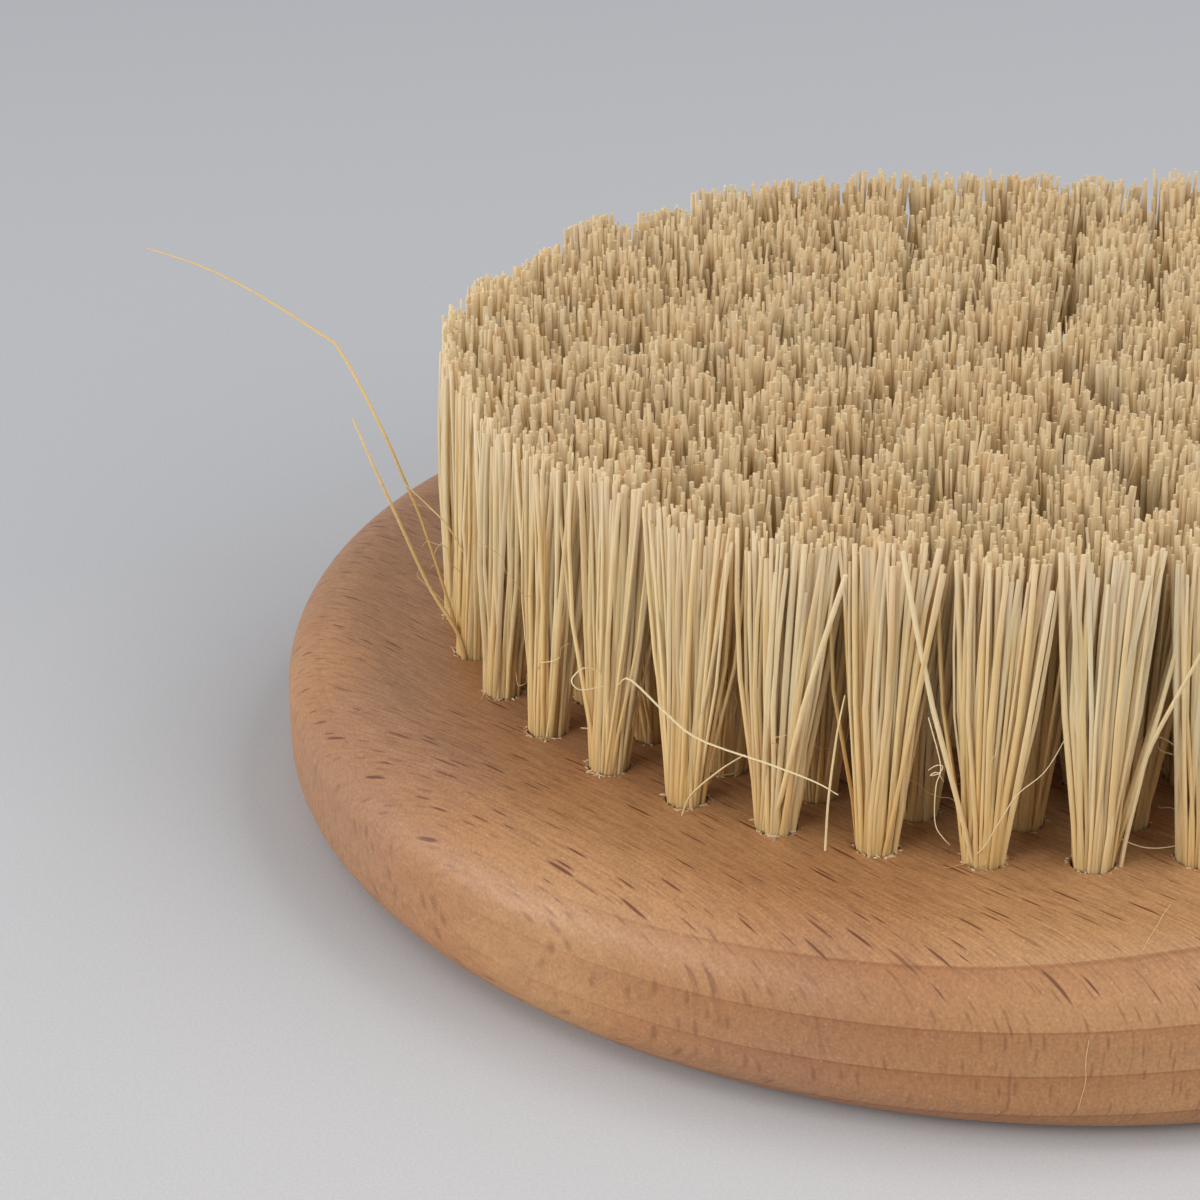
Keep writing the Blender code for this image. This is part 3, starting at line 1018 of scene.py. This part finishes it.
def curly_hair(seat, chance):
    """A fine hair that comes away from the foot of a tuft and curls beside it."""
    out = level_way(chance.uniform(0, WHOLE_TURN))
    points = [seat + out * HAIR_FROM_MIDDLE + UP * chance.uniform(*HAIR_HEIGHTS)]
    ahead = (out + UP * chance.uniform(*HAIR_RISES)).normalized()
    for _ in range(HAIR_STEPS):
        turn = Vector([chance.gauss(0, HAIR_CURL) for _ in range(3)])
        ahead = (ahead + turn).normalized()
        point = points[-1] + ahead * chance.uniform(*HAIR_STEP_LENGTHS)
        point.z = max(point.z, FACE_HEIGHT + HAIR_ABOVE_FACE)
        points.append(point)
    return points


class BATHBRUSH_OT_stray_fibres(bpy.types.Operator):
    """Lays the stray fibres and fine hairs that came loose from the tufts"""

    bl_idname = "bathbrush.stray_fibres"
    bl_label = "Stray Fibres"

    def execute(self, context):
        fibres = context.scene.bath_brush.tufts
        chance = random.Random(fibres.seed + 1)
        blank = straight_blank("stray_fibre", STRAY_RINGS, STRAY_SIDES)
        bm = strand_bmesh()
        for width, tone, points in STRAYS.values():
            points = [Vector(point) * MILLIMETRE for point in points]
            lay_stray(bm, blank, points, width * MILLIMETRE, tone)
        for seat in [seat_of(node) for node in outer_nodes()] * HAIRS_A_TUFT:
            lay_stray(bm, blank, curly_hair(seat, chance), HAIR_WIDTH, chance.random())
        mesh = smooth(mesh_from(bm, "stray_fibres"), SHARP_FIBRE)
        finished_piece("stray_fibres", mesh, plant_fibre(fibres))
        return {"FINISHED"}


# Torn wood at the holes


def crumb(bm, spot, size, chance):
    """One crumb of torn wood, lying on the face."""
    made = bmesh.ops.create_icosphere(bm, subdivisions=1, radius=size)
    turned = Matrix.Rotation(chance.uniform(0, WHOLE_TURN), 4, "Z")
    stretches = [chance.uniform(*stretch) for stretch in CRUMB_STRETCHES]
    flat = Matrix.Diagonal((*stretches, CRUMB_FLATNESS, 1))
    for corner in made["verts"]:
        corner.co *= chance.uniform(*CRUMB_LUMPS)
    bmesh.ops.transform(
        bm, verts=made["verts"], matrix=Matrix.Translation(spot) @ turned @ flat)


def splinter(bm, spot, size, chance):
    """One thin sliver of torn wood, raised a little at one end."""
    turned = Matrix.Rotation(chance.uniform(0, WHOLE_TURN), 4, "Z")
    raised = Matrix.Rotation(math.radians(chance.uniform(*SPLINTER_TILTS)), 4, "Y")
    thick, thin = SPLINTER_ENDS
    bmesh.ops.create_cone(
        bm, cap_ends=True, segments=4, radius1=size * thick, radius2=size * thin, depth=size,
        matrix=Matrix.Translation(spot) @ turned @ raised)


def torn_rim(seat, radius, chance):
    """The crumbs and splinters round one hole, most of them to one side."""
    bm = bmesh.new()
    start = chance.uniform(0, WHOLE_TURN)
    for _ in range(CRUMBS):
        away = level_way(start + chance.gauss(0, CRUMB_ROUND))
        spot = seat + away * (radius + chance.gauss(*CRUMB_AWAY))
        crumb(bm, spot, chance.uniform(*CRUMB_SIZES), chance)
    for _ in range(SPLINTERS):
        away = level_way(start + chance.gauss(0, SPLINTER_ROUND))
        spot = seat + away * (radius + SPLINTER_AWAY) + UP * SPLINTER_RISE
        splinter(bm, spot, chance.uniform(*SPLINTER_LENGTHS), chance)
    return mesh_from(bm, "torn_rim")


class BATHBRUSH_OT_torn_rims(bpy.types.Operator):
    """Scatters the crumbs and splinters that the drill left round the holes"""

    bl_idname = "bathbrush.torn_rims"
    bl_label = "Torn Rims"

    def execute(self, context):
        wood = context.scene.bath_brush.body
        chance = random.Random(RIM_SEED)
        bm = bmesh.new()
        for seat in all_seats():
            add_and_drop(bm, torn_rim(seat, wood.hole_radius, chance))
        mesh = smooth(mesh_from(bm, "torn_rims"), SHARP_CRUMB)
        finished_piece("torn_rims", mesh, torn_beech())
        return {"FINISHED"}


class BATHBRUSH_OT_staples(bpy.types.Operator):
    """Drives a flat steel staple across the bottom of each hole, over the folds"""

    bl_idname = "bathbrush.staples"
    bl_label = "Staples"

    def execute(self, context):
        anchors = context.scene.bath_brush.anchors
        bm = bmesh.new()
        size = Matrix.Diagonal((anchors.anchor_length, anchors.thickness, anchors.width, 1))
        for seat in all_seats():
            middle = seat - UP * (FOLD_DEPTH - FOLD_GAP - anchors.width / 2)
            made = bmesh.ops.create_cube(bm, size=1, matrix=Matrix.Translation(middle) @ size)
            edges = {edge for corner in made["verts"] for edge in corner.link_edges}
            bmesh.ops.bevel(
                bm, geom=list(edges), offset=anchors.thickness / 4, affect="EDGES",
                segments=1, profile=0.5, material=-1)
        mesh = smooth(mesh_from(bm, "staples"), SHARP_STEEL)
        finished_piece("staples", mesh, drawn_steel(anchors))
        return {"FINISHED"}


# Floor, light and camera


def add_softbox(name, turn, rise, side, watts):
    """A square soft box that shines at the brush from one side."""
    lamp = bpy.data.lights.new(name, "AREA")
    lamp.shape = "SQUARE"
    lamp.size = side
    lamp.energy = watts
    holder = bpy.data.objects.new(name, lamp)
    turn, rise = math.radians(turn), math.radians(rise)
    towards = Vector((
        math.cos(turn) * math.cos(rise), math.sin(turn) * math.cos(rise), math.sin(rise)))
    holder.location = towards * SOFTBOX_DISTANCE
    holder.rotation_euler = towards.to_track_quat("Z", "Y").to_euler()
    bpy.context.scene.collection.objects.link(holder)


def light_room(studio):
    """Even light from all round. Past the floor the camera sees its far tone."""
    world = bpy.data.worlds.new("studio_air")
    bpy.context.scene.world = world
    world.use_nodes = True
    add = functools.partial(add_node, world)
    seen = add("ShaderNodeBackground", Color=studio.far_floor, Strength=1.0)[0]
    light = add(
        "ShaderNodeBackground", Color=linear("#FBFCFF"), Strength=studio.sky_light)[0]
    rays = add("ShaderNodeLightPath")
    looks = add(
        "ShaderNodeMath", MAXIMUM, _0=rays["Is Camera Ray"], _1=rays["Is Glossy Ray"])[0]
    looks = add("ShaderNodeMath", MAXIMUM, _0=looks, _1=rays["Is Transmission Ray"])[0]
    mixed = add("ShaderNodeMixShader", _0=looks, _1=light, _2=seen)[0]
    set_inputs(world, world.node_tree.nodes["World Output"], Surface=mixed)


def add_camera():
    """The photograph's view: 24.7 degrees down, from 236 mm in front of the brush."""
    camera = bpy.data.cameras.new("photo_view")
    camera.sensor_width = SENSOR_WIDTH
    camera.lens = CAMERA_LENS
    camera.clip_start = CAMERA_NEAREST
    holder = bpy.data.objects.new("photo_view", camera)
    holder.location = CAMERA_PLACE
    holder.rotation_euler = (math.radians(90 - CAMERA_DOWN), 0, 0)
    bpy.context.scene.collection.objects.link(holder)
    bpy.context.scene.camera = holder


class BATHBRUSH_OT_studio(bpy.types.Operator):
    """Lays the pale floor, hangs the soft light and sets the camera"""

    bl_idname = "bathbrush.studio"
    bl_label = "Studio"

    def execute(self, context):
        studio = context.scene.bath_brush.studio
        bm = bmesh.new()
        bmesh.ops.create_circle(bm, cap_ends=True, radius=FLOOR_RADIUS, segments=FLOOR_SIDES)
        bmesh.ops.translate(bm, verts=bm.verts, vec=(0, 0, -FLOOR_GAP))
        floor = bpy.data.objects.new("studio_floor", mesh_from(bm, "studio_floor"))
        floor.data.materials.append(pale_paper(studio))
        context.scene.collection.objects.link(floor)
        light_room(studio)
        for name, (turn, rise, side, watts) in SOFTBOXES.items():
            add_softbox(name, turn, rise, side, watts * studio.lamp_scale)
        context.scene.view_settings.view_transform = "Standard"
        add_camera()
        return {"FINISHED"}


class BATHBRUSH_PT_sidebar(bpy.types.Panel):
    """Lists the settings, and a button for each piece and for the studio"""

    bl_label = "Bath Brush"
    bl_space_type = "VIEW_3D"
    bl_region_type = "UI"
    bl_category = "Bath Brush"

    def draw(self, context):
        settings = context.scene.bath_brush
        for group in ("body", "tufts", "anchors", "studio"):
            values = getattr(settings, group)
            box = self.layout.box()
            for name in values.__annotations__:
                box.prop(values, name)
        for operator in OPERATORS:
            self.layout.operator(operator.bl_idname)


OPERATORS = (
    BATHBRUSH_OT_studio,
    BATHBRUSH_OT_beech_body,
    BATHBRUSH_OT_tufts,
    BATHBRUSH_OT_stray_fibres,
    BATHBRUSH_OT_torn_rims,
    BATHBRUSH_OT_staples,
)
CLASSES = (
    BeechBodySettings,
    TuftSettings,
    AnchorSettings,
    StudioSettings,
    BathBrushSettings,
    *OPERATORS,
    BATHBRUSH_PT_sidebar,
)


def register():
    for made in CLASSES:
        bpy.utils.register_class(made)
    bpy.types.Scene.bath_brush = bpy.props.PointerProperty(type=BathBrushSettings)


def unregister():
    del bpy.types.Scene.bath_brush
    for made in reversed(CLASSES):
        bpy.utils.unregister_class(made)


def main():
    """Makes the brush and its studio."""
    register()
    bpy.ops.bathbrush.studio()
    bpy.ops.bathbrush.beech_body()
    bpy.ops.bathbrush.tufts()
    bpy.ops.bathbrush.stray_fibres()
    bpy.ops.bathbrush.torn_rims()
    bpy.ops.bathbrush.staples()


if __name__ == "__main__":
    main()
